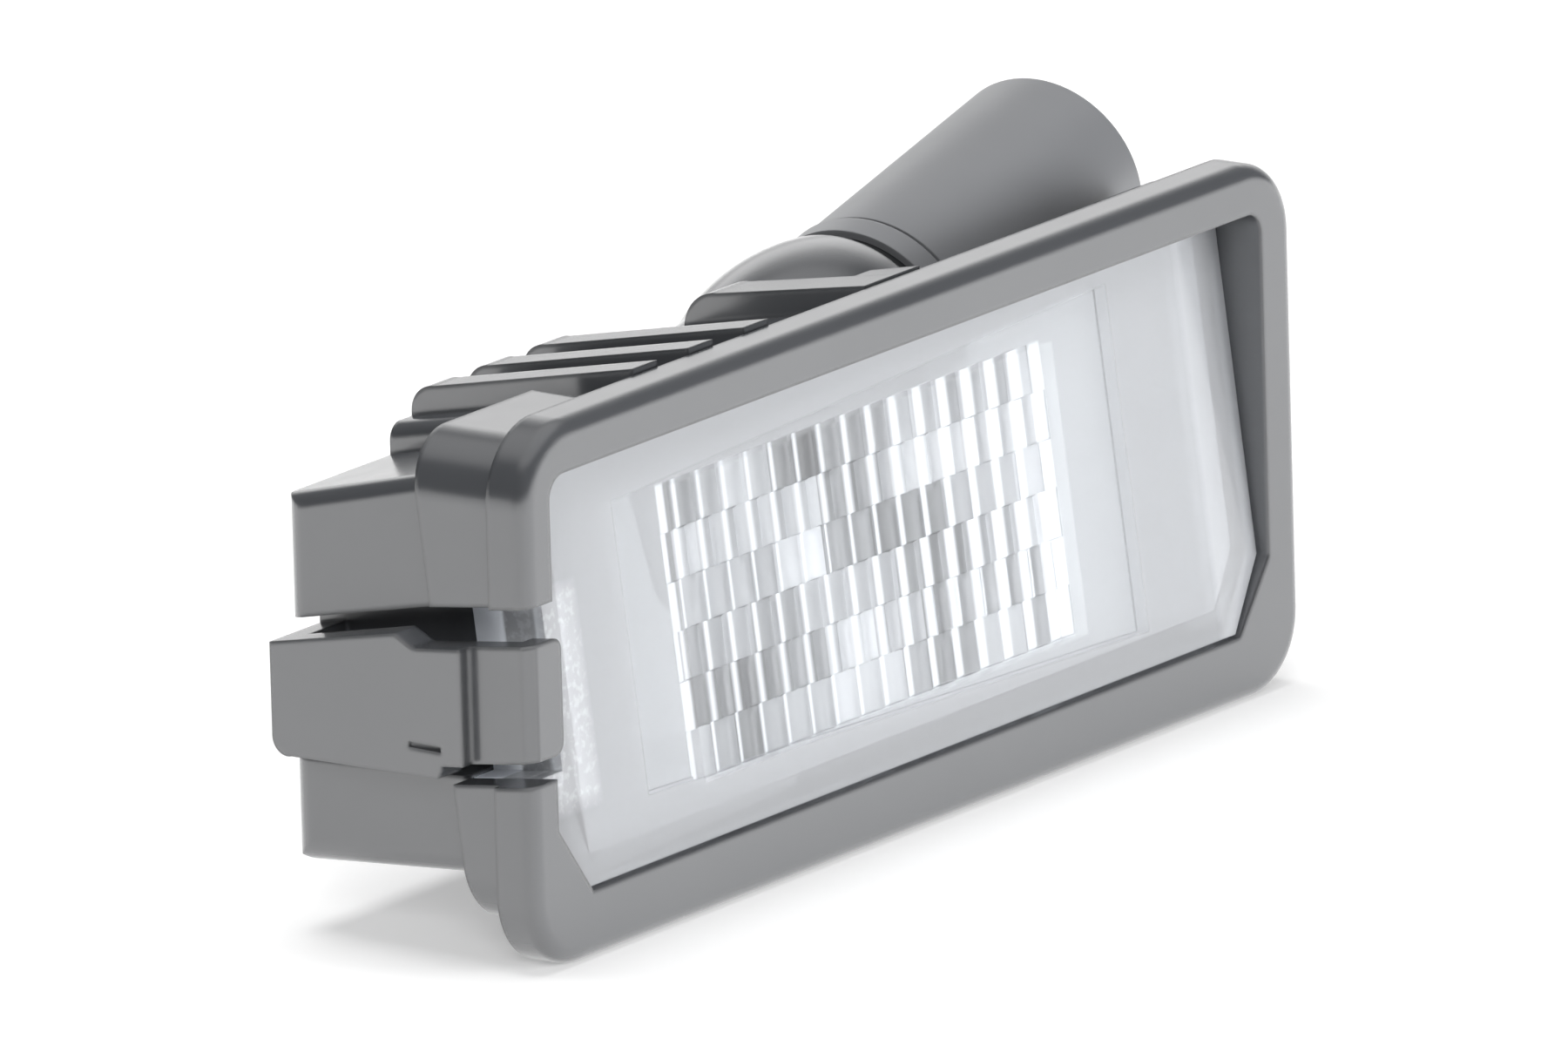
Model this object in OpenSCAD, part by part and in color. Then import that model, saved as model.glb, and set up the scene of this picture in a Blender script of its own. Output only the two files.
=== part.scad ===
// Number plate lamp: a moulded body whose bezel snaps into a panel cut-out, a clear fluted
// lens set at a slant in its window, and a push-in bulb holder that ends in a round tube for
// the connector. The origin lies on the panel seat, in the middle of the window's length and
// half-way up the bezel. X runs along the bezel, Y runs into the panel and Z runs up.

/* [Bezel] */
// Overall length of the bezel
bezel_w = 70.2; // [69:0.1:76]
// Overall height of the bezel
bezel_h = 29.4; // [28.6:0.1:34]
// How far the bezel's middle sits to the right of the window's middle
bezel_right = 0.35; // [0:0.05:0.6]
// Thickness of the bezel from its panel seat to its face
bezel_t = 2.5; // [2:0.1:3.5]
// Outer corner radius of the bezel
bezel_corner_r = 4.2; // [3:0.1:6]
// Rounding of the bezel's outer front edge
bezel_edge_r = 0.9; // [0.5:0.1:1]

/* [Window and skirt] */
// Length of the window that the lens sits in
window_w = 65; // [60:0.5:66]
// Height of the window
window_h = 23; // [20:0.5:24.5]
// How far the window's middle sits above the bezel's middle
window_rise = 0.5; // [0.2:0.1:0.8]
// Radius of the window's upper corners
window_corner_r = 1.3; // [0.8:0.1:2]
// Length of the chamfer at the window's lower corners
window_chamfer_w = 2.9; // [1:0.1:4]
// Height of that chamfer
window_chamfer_h = 3.9; // [1:0.1:5]
// Wall of the skirt behind the bezel, outside the window
skirt_wall = 1.6; // [1.3:0.1:1.7]
// Depth of the skirt behind the lens's front plane
skirt_depth = 4.6; // [4.2:0.1:6]
// Outer corner radius of the skirt
skirt_corner_r = 3.3; // [2:0.1:4]
// Thickness of the panel that the lamp snaps into
panel_t = 1.5; // [0.8:0.1:2]
// How far the fixed lug stands out from the skirt
lug_out = 1.5; // [0.8:0.1:2]
// Height of the fixed lug
lug_h = 7; // [4:0.5:10]
// Depth of the fixed lug behind the panel
lug_depth = 2; // [1.2:0.1:2.2]

/* [Lens] */
// Angle of the lens against the bezel
lens_tilt = 7; // [4:0.5:9]
// How far the lens's lower edge lies behind the bezel's face
lens_sink = 0.25; // [0.1:0.05:0.5]
// Thickness of the lens plate
lens_t = 1.6; // [1.2:0.1:2]
// Length of the fluted field
field_w = 35; // [24:1:40]
// Height of the fluted field
field_h = 16; // [10:1:17]
// How far the fluted field sits left of the middle
field_left = 1; // [0:0.5:3]
// Number of flutes in a row
flute_count = 16; // [10:1:20]
// Number of rows of flutes
flute_rows = 6; // [3:1:8]
// Depth of a flute
flute_depth = 0.5; // [0.3:0.05:0.6]
// Height of the raised field on the lens's rear face, round the flutes
pocket_t = 0.25; // [0.15:0.05:0.4]
// Length of the lens's notch for the latch
lens_notch_w = 1.9; // [1.7:0.1:2.1]
// Thickness of the wall round that notch
lens_notch_wall = 0.8; // [0.6:0.1:1]

/* [Housing] */
// Distance from the panel seat to the housing's rear face
housing_depth = 14.8; // [14:0.1:18]
// Length of the low block from its left side to the middle of the window
side_x = 32.7; // [32.5:0.1:33.2]
// Wall thickness of the housing
wall = 1.4; // [1.1:0.1:1.5]
// Width of the ledge that the lens rests on
ledge_w = 1.4; // [1.2:0.1:2]
// Thickness of that ledge
ledge_t = 1.4; // [1:0.1:1.5]
// Distance from the left end of the window to the step in the roof
step_left = 9.5; // [8:0.5:10.5]
// Position of the housing's right wall from the middle of the window
right_wall_x = 13.2; // [12:0.2:14]
// Height of the low roof, at the panel seat
low_roof_z = 12.5; // [11.5:0.1:12.8]
// Slope of the low roof
low_roof_slope = 13.8; // [10:0.2:16]
// Height of the main roof, at the panel seat
roof_z = 13.5; // [13.2:0.1:14]
// Slope of the main roof
roof_slope = 11.3; // [9:0.1:13]
// Depth of the floor below the middle, at the panel seat
floor_drop = 10.1; // [9.6:0.1:10.6]
// Slope of the floor
floor_slope = 3.8; // [1:0.2:6]
// Rounding of the housing's lower edges
floor_edge_r = 1.3; // [0.8:0.1:2]
// Rounding of the housing's upper edges
roof_edge_r = 0.9; // [0.5:0.1:1.2]

/* [Ribs] */
// Number of ribs on the roof
rib_count = 3; // [1:1:3]
// Distance from one rib to the next
rib_pitch = 5; // [4:0.1:5.4]
// Thickness of a rib
rib_w = 2.2; // [1:0.1:3]
// Height of a rib above the roof
rib_h = 1.5; // [1:0.1:2.2]
// Gap between the bezel and the front end of the ribs
rib_front = 0.3; // [0.2:0.1:2]
// Distance from the roof's step to the first rib
rib_start = 2; // [1.2:0.1:3]
// Left face of the broad rib beside the boss, from the middle
broad_rib_x = 0; // [-1:0.2:2]
// Thickness of the broad rib
broad_rib_w = 3; // [2.4:0.2:3.6]
// Height of the broad rib above the roof at its front end
broad_rib_h = 1.3; // [0.8:0.1:1.8]
// Height of the broad rib above the roof at its rear end
broad_rib_h_rear = 1.6; // [1:0.1:2]
// Distance from the housing's rear face to the broad rib's rear end
broad_rib_rear = 2.6; // [1.5:0.1:4]
// Rounding of the broad rib's rear end
broad_rib_round = 2.2; // [1.6:0.1:2.4]
// Length of the gusset between the broad rib and the boss
gusset_w = 2; // [1:0.5:4]
// Depth of that gusset behind the panel seat
gusset_y = 3.5; // [2.5:0.1:4.5]
// Depth at which the roof's rear edge is bevelled, right of the ribs
bevel_y = 12.3; // [12:0.1:13.5]
// Slope of that bevel
bevel_slope = 35; // [30:1:40]

/* [Latch tongue] */
// Height of the latch tongue at the bezel
tongue_h = 6.3; // [5:0.1:7]
// Height of the tongue's middle above the window's lower edge
tongue_z = 11.05; // [10:0.05:12]
// How far the tongue's rear part reaches below its front part
tongue_drop = 1.2; // [0.8:0.05:1.3]
// How far the tongue's rear part reaches above its front part
tongue_rise = 1.1; // [0.8:0.05:1.3]
// Rounding of the tongue's lower rear corner
tongue_corner_r = 1; // [0.5:0.1:1.5]
// Thickness of the tongue
tongue_t = 1.3; // [1:0.1:1.6]
// How far the catch stands out beyond the bezel's end
catch_out = 0.65; // [0.3:0.05:1]
// Gap above the tongue in the bezel's notch
notch_above = 2; // [1:0.1:2.4]
// Gap below the tongue in the bezel's notch
notch_below = 1.25; // [1.1:0.05:1.5]
// How far the tab reaches in front of the lens's notch
tab_reach = 2.9; // [2.4:0.1:3]
// Thickness of the tab from front to back
tab_t = 1.4; // [1:0.1:1.6]
// Rounding of the tab's corners
tab_corner_r = 0.7; // [0.4:0.1:1.2]
// Length of the tongue's root at the rear
root_l = 1.8; // [1.2:0.1:2.5]

/* [Bulb holder] */
// Position of the tube's open end along the bezel
tube_end_x = 35; // [34:0.1:37]
// Position of the tube's open end behind the panel seat
tube_end_y = 13.4; // [13.2:0.1:15]
// Height of the tube's open end
tube_end_z = 11.2; // [10:0.1:13]
// Angle of the tube towards the rear
tube_yaw = 5.8; // [4:0.1:8]
// Angle of the tube above level
tube_pitch = 10.3; // [8:0.1:12]
// Outer radius of the connector tube
tube_r = 5.9; // [5.6:0.05:6.1]
// Radius of the connector socket in the tube
socket_r = 4.7; // [4:0.05:4.9]
// Depth of the connector socket
socket_depth = 11; // [8:0.5:13]
// Length of the connector tube
tube_l = 19.3; // [18:0.1:20]
// Outer radius of the boss at its mouth
boss_r = 6.4; // [6.2:0.05:6.5]
// How far the boss bulges in its middle
boss_bulge = 0.65; // [0.5:0.05:0.7]
// Length of the bulging part of the boss
boss_l = 9; // [8.5:0.5:10]
// Outer radius of the holder's flange
holder_flange_r = 6.05; // [6:0.05:6.2]
// Thickness of the holder's flange
holder_flange_t = 1.7; // [1.3:0.1:2]
// Depth of the thin groove between the tube and the flange
tube_groove = 0.3; // [0.2:0.05:0.4]
// Width of that groove
tube_groove_w = 0.4; // [0.3:0.1:0.6]
// Thickness of the seal between flange and boss
seal_t = 1.4; // [1.2:0.1:1.6]
// How far the seal lies inside the flange's edge
seal_inset = 0.4; // [0.3:0.05:0.5]
// Bore of the boss
boss_bore_r = 5.35; // [5.3:0.05:5.5]
// Wall of the round chamber behind the boss
boss_wall = 1.15; // [0.9:0.05:1.2]
// Length of the holder's plug inside the boss
plug_l = 5.6; // [5.4:0.1:6]
// Clearance of the plug in the boss
plug_gap = 0.1; // [0.05:0.05:0.2]

/* [Bulb and contacts] */
// Diameter of the bulb's glass
bulb_d = 10; // [8:0.1:10.2]
// Length of the bulb's glass in front of the holder
bulb_l = 19; // [15:0.5:20]
// Gap between the end of the glass and the holder's plug
seat_gap = 0.5; // [0.3:0.1:0.7]
// Rounding of the glass's tip
bulb_edge_r = 2.5; // [1.5:0.1:3]
// Length of the narrower neck at the glass's base
bulb_neck_l = 3.5; // [2:0.1:5]
// How far the neck lies inside the glass
bulb_neck_in = 1.2; // [0.6:0.1:1.6]
// Width of the bulb's wedge base
wedge_w = 9.2; // [7:0.1:9.4]
// Thickness of the bulb's wedge base
wedge_t = 2.4; // [1.8:0.1:2.6]
// Length of the bulb's wedge base
wedge_l = 6; // [4:0.5:6.5]
// Width of a contact strip
contact_w = 2.4; // [1.6:0.1:3]
// Thickness of a contact strip
contact_t = 0.6; // [0.4:0.05:0.8]
// Length of the contact pins in the socket
pin_l = 7; // [4:0.5:8]

/* [Reflector] */
// Thickness of the reflector's sheet
reflector_t = 0.7; // [0.5:0.1:0.9]
// Length of the reflector's bowl
bowl_w = 46; // [40:1:48]
// How far the bowl sits left of the middle
bowl_left = 0.8; // [0:0.2:1.4]
// Height of the bowl at its left end
bowl_h_left = 16.4; // [12:0.2:18]
// Height of the bowl at its right end
bowl_h_right = 19.6; // [16:0.2:19.6]
// Length of the two rests that carry the reflector's left end
rest_l = 2; // [1.4:0.1:2.4]
// Height of those rests
rest_h = 4; // [3:0.5:5]
// Depth of the bowl's floor behind the lens's front plane
bowl_floor = 8.6; // [7:0.1:9]
// Room round the bulb in the bowl's floor
bulb_room = 0.5; // [0.3:0.05:0.8]

/* [Fits] */
// Clearance between pieces that fit into each other
fit = 0.15; // [0.1:0.05:0.25]
// Gap below the tongue's rear part; the gap above it is twice as wide
tongue_gap = 0.45; // [0.3:0.05:0.6]

/* [Hidden] */
$fn = 48;
far = 60;
window_bottom = window_rise - window_h / 2;
window_top = window_rise + window_h / 2;
left_end = bezel_right - bezel_w / 2;
step_x = -window_w / 2 + step_left;
skirt_w = window_w + 2 * skirt_wall;
skirt_h = window_h + 2 * skirt_wall;
notch_x = -window_w / 2 + lens_notch_w;
notch_low = tongue_z - tongue_h / 2 - notch_below;
notch_high = tongue_z + tongue_h / 2 + notch_above;
channel_x = notch_x + lens_notch_wall + fit;
seal_start = tube_l + holder_flange_t;
boss_start = seal_start + seal_t;
bulge_r = (pow(boss_l / 2, 2) + pow(boss_bulge, 2)) / (2 * boss_bulge);
plug_end = boss_start + plug_l;
plug_r = boss_bore_r - plug_gap;
seal_bore_r = plug_r;
seat_start = plug_end - wedge_l - fit;
bulb_tip = plug_end + bulb_l;
bulb_r = bulb_d / 2;
tray_floor = skirt_depth - wall;
flute_pitch = field_w / flute_count;
flute_edge = 0.08;
flute_sag = flute_depth - flute_edge;
pocket_inset = 0.3;
flute_top = lens_t + pocket_t + flute_depth;
flute_r = (pow(flute_pitch / 2, 2) + pow(flute_sag, 2)) / (2 * flute_sag);

// Heights of the sloping roofs and floor at a distance y behind the panel seat
function low_roof(y) = low_roof_z - y * tan(low_roof_slope);
function main_roof(y) = roof_z - y * tan(roof_slope);
function floor_at(y) = -floor_drop - y * tan(floor_slope);

// Places children in the plane of the lens, from the middle of its lower edge
module in_lens_plane() {
    translate([0, lens_sink - bezel_t, window_bottom])
        rotate([-lens_tilt, 0, 0])
            children();
}

// Places children on the axis of the tube, s behind its open end and facing out of it
module on_tube_axis(s) {
    translate([tube_end_x, tube_end_y, tube_end_z])
        rotate([0, 90 - tube_pitch, tube_yaw])
            translate([0, 0, -s])
                children();
}

// Extrudes an outline drawn in X and Z from y0 to y1
module along_y(y0, y1) {
    translate([0, y1, 0])
        rotate([90, 0, 0])
            linear_extrude(y1 - y0)
                children();
}

// Extrudes an outline drawn in Y and Z from x0 to x1
module along_x(x0, x1) {
    translate([x0, 0, 0])
        rotate([90, 0, 90])
            linear_extrude(x1 - x0)
                children();
}

// All space between two depths behind the lens's front plane
module lens_slab(y0, y1) {
    in_lens_plane()
        translate([-far, y0, -far])
            cube([2 * far, y1 - y0, 2 * far]);
}

module rounded_rect(w, h, r) {
    square([w, h - 2 * r], center = true);
    square([w - 2 * r, h], center = true);
    for (x = [-1, 1], y = [-1, 1])
        translate([x * (w / 2 - r), y * (h / 2 - r)])
            circle(r);
}

// The window's outline, with every edge moved out by grow
module window_outline(grow = 0) {
    x = window_w / 2 + grow;
    low = window_bottom - grow;
    top = window_top + grow;
    r = max(window_corner_r + grow, 0.3);
    slant = norm([window_chamfer_w, window_chamfer_h]);
    cut_x = window_chamfer_w - grow * (slant - window_chamfer_w) / window_chamfer_h + grow;
    cut_z = window_chamfer_h + grow * (window_chamfer_h - slant) / window_chamfer_w + grow;
    polygon([[-x, low + cut_z], [-x + cut_x, low], [x - cut_x, low], [x, low + cut_z],
             [x, top - r], [x - r, top], [-x + r, top], [-x, top - r]]);
    for (side = [-1, 1])
        translate([side * (x - r), top - r])
            circle(r);
}

// A plate with a rounded front edge, drawn from z = 0 up to z = t
module pillow_plate(w, h, corner_r, t, edge_r) {
    linear_extrude(t - edge_r)
        rounded_rect(w, h, corner_r);
    linear_extrude(t)
        rounded_rect(w - 2 * edge_r, h - 2 * edge_r, corner_r - edge_r);
    for (x = [-1, 1], y = [-1, 1])
        translate([x * (w / 2 - corner_r), y * (h / 2 - corner_r), t - edge_r])
            rotate_extrude()
                translate([corner_r - edge_r, 0])
                    circle(edge_r);
    for (y = [-1, 1])
        translate([0, y * (h / 2 - edge_r), t - edge_r])
            rotate([0, 90, 0])
                cylinder(r = edge_r, h = w - 2 * corner_r, center = true);
    for (x = [-1, 1])
        translate([x * (w / 2 - edge_r), 0, t - edge_r])
            rotate([90, 0, 0])
                cylinder(r = edge_r, h = h - 2 * corner_r, center = true);
}

module bezel_plate() {
    translate([bezel_right, 0, 0])
        rotate([90, 0, 0])
            pillow_plate(bezel_w, bezel_h, bezel_corner_r, bezel_t, bezel_edge_r);
}

// Notch for the latch tongue through the bezel's left end and its skirt
module tongue_notch() {
    in_lens_plane()
        translate([-far, -far, notch_low])
            cube([far - window_w / 2 + 0.2, far + skirt_depth + fit * 2, notch_high - notch_low]);
}

// Side outline of the ribs, from y0 back to y1, with a round rear end
module rib_profile(y0, y1, h, h_rear, round_r) {
    sink = 0.8;
    top = main_roof(y1 - round_r) + h_rear;
    polygon([[y0, main_roof(y0) - sink], [y1, main_roof(y1) - sink],
             [y1, top - round_r], [y1 - round_r, top], [y0, main_roof(y0) + h]]);
    intersection() {
        translate([y1 - round_r, top - round_r])
            circle(round_r);
        translate([y1 - round_r, top - round_r])
            square(round_r);
    }
}

module ribs() {
    for (i = [0 : rib_count - 1]) {
        x = step_x + rib_start + i * rib_pitch;
        along_x(x, x + rib_w)
            rib_profile(rib_front, housing_depth, rib_h, rib_h, rib_h);
    }
}

// Hook at the right end that goes behind the panel's edge
module fixed_lug() {
    x = skirt_w / 2;
    translate([0, 0, -lug_h / 2])
        linear_extrude(lug_h)
            polygon([[x - 0.5, panel_t], [x + lug_out, panel_t],
                     [x + lug_out, panel_t + lug_depth * 0.4],
                     [x + lug_out * 0.3, panel_t + lug_depth],
                     [x - 0.5, panel_t + lug_depth]]);
}

// The skirt that centres the lamp in the cut-out, under the main roof right of its step
module skirt() {
    difference() {
        intersection() {
            along_y(-0.5, far)
                translate([0, window_rise])
                    rounded_rect(skirt_w, skirt_h, skirt_corner_r);
            lens_slab(-far, skirt_depth);
        }
        translate([step_x, 0, roof_z])
            rotate([-roof_slope, 0, 0])
                translate([0, -far / 2, 0])
                    cube(far);
    }
}

// Side outline of the housing's floor and rear, with both moved in by inset
module floor_outline(inset) {
    rear = housing_depth - inset;
    edge_r = max(floor_edge_r - inset, 0.3);
    y = rear - edge_r;
    z = floor_at(y) + (inset + edge_r) / cos(floor_slope);
    front = -0.5;
    polygon([[front, floor_at(front) + inset / cos(floor_slope)],
             [y - edge_r * sin(floor_slope), z - edge_r * cos(floor_slope)],
             [rear, z], [rear, far], [front, far]]);
    translate([y, z])
        circle(edge_r);
}

// All space under a sloping roof between x0 and x1, with rounded edges
module under_roof(x0, x1, z0, slope, edge_r) {
    translate([0, 0, z0])
        rotate([-slope, 0, 0])
            along_y(-far, far)
                translate([(x0 + x1) / 2, -far])
                    rounded_rect(x1 - x0, 2 * far, edge_r);
}

// The housing's block behind the bezel, with every face moved in by inset
module block(inset) {
    a = -side_x + inset;
    b = right_wall_x - inset;
    top_r = max(roof_edge_r - inset, 0.3);
    low_r = max(floor_edge_r - inset, 0.3);
    intersection() {
        along_x(a, b)
            floor_outline(inset);
        linear_extrude(2 * far, center = true)
            translate([(a + b) / 2, housing_depth - inset - far])
                rounded_rect(b - a, 2 * far, low_r);
        translate([0, 0, floor_at(0) + inset / cos(floor_slope)])
            rotate([-floor_slope, 0, 0])
                along_y(-far, far)
                    translate([(a + b) / 2, far])
                        rounded_rect(b - a, 2 * far, low_r);
        union() {
            under_roof(a, step_x + rib_pitch, low_roof_z - inset / cos(low_roof_slope),
                       low_roof_slope, top_r);
            under_roof(step_x + inset, b, roof_z - inset / cos(roof_slope),
                       roof_slope, top_r);
        }
    }
}

// Round chamber along the tube's axis that takes the bulb, from the boss inwards
module bulb_chamber(r, start, end, end_r) {
    on_tube_axis(end)
        rotate_extrude() {
            square([r - end_r, end - start]);
            translate([0, end_r])
                square([r, end - start - end_r]);
            translate([r - end_r, end_r])
                circle(end_r);
        }
}

// Space for the tongue and the lens's notch at the left end, with its sides moved out by grow
module channel(grow = 0) {
    x = channel_x + grow;
    side = fit + lens_notch_wall + grow;
    in_lens_plane()
        translate([-window_w / 2, lens_t - 0.1, notch_low - side])
            cube([window_w / 2 + x, skirt_depth - lens_t + 0.2 + grow,
                  notch_high - notch_low + 2 * side]);
    front = panel_t + 0.5;
    rear = housing_depth + 1;
    along_x(-far, x)
        polygon([[front, tongue_low(front) - tongue_gap - grow],
                 [rear, tongue_low(rear) - tongue_gap - grow],
                 [rear, tongue_top(rear) + 2 * tongue_gap + grow],
                 [front, tongue_top(front) + 2 * tongue_gap + grow]]);
}

// Lower and upper edge of the tongue's rear part
function tongue_low(y) = window_bottom + tongue_z - tongue_h / 2 - tongue_drop - 0.035 * y;
function tongue_top(y) = window_bottom + tongue_z + tongue_h / 2 + tongue_rise - 0.205 * y;

// Side outline of the tongue's rear part, which is taller than the front part
module tongue_side() {
    r = tongue_corner_r;
    rear_low = tongue_low(housing_depth);
    low_y = 2 * panel_t;
    top_y = 4 * panel_t;
    polygon([[low_y, tongue_low(low_y) + r / 2], [low_y + r / 4, tongue_low(low_y)],
             [housing_depth - r, tongue_low(housing_depth - r)],
             [housing_depth, rear_low + r], [housing_depth, tongue_top(housing_depth)],
             [top_y, tongue_top(top_y)], [top_y - tongue_rise, tongue_top(top_y) - tongue_rise / 2],
             [low_y, tongue_top(top_y) - tongue_rise]]);
    translate([housing_depth - r, rear_low + r])
        circle(r);
}

// Plan of the tongue: the root, the ramp out to the catch, and the tab in front
module tongue_plan() {
    catch_x = left_end - catch_out;
    rear_x = left_end + 0.6;
    tab_x = left_end + 0.15;
    front = -bezel_t;
    polygon([[channel_x + 0.5, housing_depth], [rear_x, housing_depth],
             [catch_x, panel_t], [tab_x, panel_t], [tab_x, front + 0.6], [tab_x + 0.6, front],
             [left_end + tab_reach, front], [left_end + tab_reach, front + tab_t],
             [tab_x + tongue_t, front + tab_t], [tab_x + tongue_t, panel_t],
             [rear_x + tongue_t, housing_depth - root_l],
             [channel_x + 0.5, housing_depth - root_l]]);
}

module tongue() {
    intersection() {
        linear_extrude(2 * far, center = true)
            tongue_plan();
        union() {
            along_x(-far, 0)
                tongue_side();
            in_lens_plane()
                along_y(-far, skirt_depth + 2 * panel_t)
                    translate([left_end + tab_reach - far, tongue_z])
                        rounded_rect(2 * far, tongue_h, tab_corner_r);
        }
        difference() {
            cube(2 * far, center = true);
            tongue_slot();
        }
    }
}

// Short shallow slot in the tongue's outer face, above the step in its lower edge
module tongue_slot() {
    translate([-far, 2 * panel_t, window_bottom + tongue_z - tongue_h / 2 + fit])
        cube([far + left_end - catch_out + 0.5, 1.5 * panel_t, 0.3]);
}

// The boss, which bulges like a barrel round the holder's plug
module boss() {
    on_tube_axis(boss_start + boss_l)
        rotate_extrude()
            intersection() {
                translate([boss_r + boss_bulge - bulge_r, boss_l / 2])
                    circle(bulge_r, $fn = 360);
                square([boss_r + 1, boss_l]);
            }
}

// Recess in the right wall round the seal and the holder's flange
module flange_recess() {
    on_tube_axis(boss_start)
        cylinder(r = holder_flange_r + 2 * fit, h = seal_t + holder_flange_t);
}

// The broad rib beside the boss, and the gusset between it and the boss
module broad_rib() {
    rear = housing_depth - broad_rib_rear;
    along_x(broad_rib_x, broad_rib_x + broad_rib_w)
        rib_profile(rib_front, rear, broad_rib_h, broad_rib_h_rear, broad_rib_round);
    along_x(broad_rib_x + broad_rib_w - 0.2, broad_rib_x + broad_rib_w + gusset_w)
        polygon([[rib_front, main_roof(rib_front) - 1], [rib_front, main_roof(rib_front) + broad_rib_h],
                 [gusset_y, main_roof(gusset_y) + broad_rib_h],
                 [gusset_y + broad_rib_h, main_roof(gusset_y + broad_rib_h) - 1]]);
}

// Wedge that bevels the roof's rear edge between the ribs and the right wall
module rear_bevel() {
    x = step_x + rib_start + (rib_count - 1) * rib_pitch + rib_w / 2;
    translate([x, bevel_y, main_roof(bevel_y)])
        rotate([-bevel_slope, 0, 0])
            translate([0, -far / 2, 0])
                cube([far, far, far / 2]);
}

// Everything of the body before it is hollowed out
module body_outside() {
    bezel_plate();
    skirt();
    fixed_lug();
    difference() {
        block(0);
        rear_bevel();
    }
    ribs();
    broad_rib();
    boss();
    bulb_chamber(boss_bore_r + boss_wall, boss_start + boss_l / 4,
                 bulb_tip + fit + boss_wall, bulb_edge_r);
}

// The hollow behind the lens's ledge, with the walls round the tongue's channel left in
module body_hollow() {
    intersection() {
        along_y(-far, far)
            window_outline(-ledge_w);
        lens_slab(lens_t - 0.5, tray_floor);
        translate([channel_x + wall, -far, -far])
            cube([2 * far, 2 * far, 2 * far]);
    }
    difference() {
        intersection() {
            block(wall);
            lens_slab(lens_t + ledge_t, 2 * far);
        }
        channel(wall);
        ledges();
    }
    bulb_chamber(boss_bore_r, boss_start - seal_t, bulb_tip + fit * 2, bulb_edge_r - fit);
}

module body() {
    color("#66696c")
        difference() {
            body_outside();
            intersection() {
                along_y(-far, far)
                    window_outline();
                lens_slab(-far, lens_t);
            }
            body_hollow();
            tongue_notch();
            channel();
            flange_recess();
        }
    color("#66696c")
        tongue();
}

// Two short ledges inside the housing that carry the reflector's left end
module ledges() {
    x = channel_x + wall;
    for (low = [window_bottom, window_top - rest_h])
        intersection() {
            translate([x, -far, low])
                cube([rest_l, 2 * far, rest_h]);
            lens_slab(tray_floor, tray_floor + 2 * wall);
        }
}

// A row of flutes behind the lens plate, each a shallow round ridge
module flute_row(shift) {
    linear_extrude(field_h / flute_rows + 0.02)
        for (i = [0 : flute_count - 1 - (shift > 0 ? 1 : 0)])
            intersection() {
                translate([(i + 0.5) * flute_pitch + shift, flute_top - flute_r])
                    circle(flute_r);
                translate([i * flute_pitch + shift, lens_t - 0.2])
                    square([flute_pitch, flute_top - lens_t + 0.4]);
            }
}

module lens() {
    field_bottom = (window_h / cos(lens_tilt) - field_h) / 2 - 0.4;
    color("#dfe6ea", 0.6) {
        difference() {
            intersection() {
                along_y(-far, far)
                    window_outline(-fit);
                lens_slab(0, lens_t);
            }
            in_lens_plane()
                translate([-far, -far, notch_low])
                    cube([far + notch_x, 2 * far, notch_high - notch_low]);
        }
        in_lens_plane()
            for (row = [0 : flute_rows - 1])
                translate([-field_w / 2 - field_left, 0,
                           field_bottom + row * field_h / flute_rows])
                    flute_row(row % 2 == 0 ? 0 : flute_pitch / 2);
        in_lens_plane()
            along_y(lens_t - 0.2, lens_t + pocket_t)
                bowl_outline(pocket_inset);
        intersection() {
            in_lens_plane()
                difference() {
                    translate([-far, lens_t - 0.4, notch_low - lens_notch_wall])
                        cube([far + notch_x + lens_notch_wall, skirt_depth - lens_t + 0.3,
                              notch_high - notch_low + 2 * lens_notch_wall]);
                    translate([-far, -far, notch_low])
                        cube([far + notch_x, 2 * far, notch_high - notch_low]);
                }
            along_y(-far, far)
                window_outline(-fit);
        }
    }
}

// Outline of the reflector's bowl at its mouth, moved in by inset
module bowl_outline(inset) {
    x0 = -bowl_w / 2 - bowl_left + inset;
    x1 = bowl_w / 2 - bowl_left - inset;
    mid = window_h / cos(lens_tilt) / 2;
    a = bowl_h_left / 2 - inset;
    b = bowl_h_right / 2 - inset;
    polygon([[x0, mid - a], [x1, mid - b], [x1, mid + b], [x0, mid + a]]);
}

// Bowl space between two depths behind the lens, only as far right as the housing is deep
// and clear of its floor
module bowl(inset, y0, y1) {
    limit = right_wall_x - wall - fit - inset;
    rise = wall + fit + inset;
    intersection() {
        in_lens_plane()
            along_y(y0, y1)
                bowl_outline(inset);
        along_x(-far, limit)
            polygon([[-far, floor_at(-far) + rise], [far, floor_at(far) + rise],
                     [far, far], [-far, far]]);
    }
}

module reflector() {
    plate_y = tray_floor - reflector_t;
    color("#e9ecee")
        difference() {
            union() {
                intersection() {
                    along_y(-far, far)
                        window_outline(-ledge_w - fit);
                    lens_slab(plate_y, tray_floor);
                    translate([channel_x + wall + fit, -far, -far])
                        cube([2 * far, 2 * far, 2 * far]);
                }
                bowl(0, plate_y, bowl_floor + reflector_t);
            }
            bowl(reflector_t, plate_y - 1, bowl_floor);
            bulb_chamber(bulb_r + bulb_room, boss_start, bulb_tip + bulb_room, bulb_edge_r);
        }
}

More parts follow.
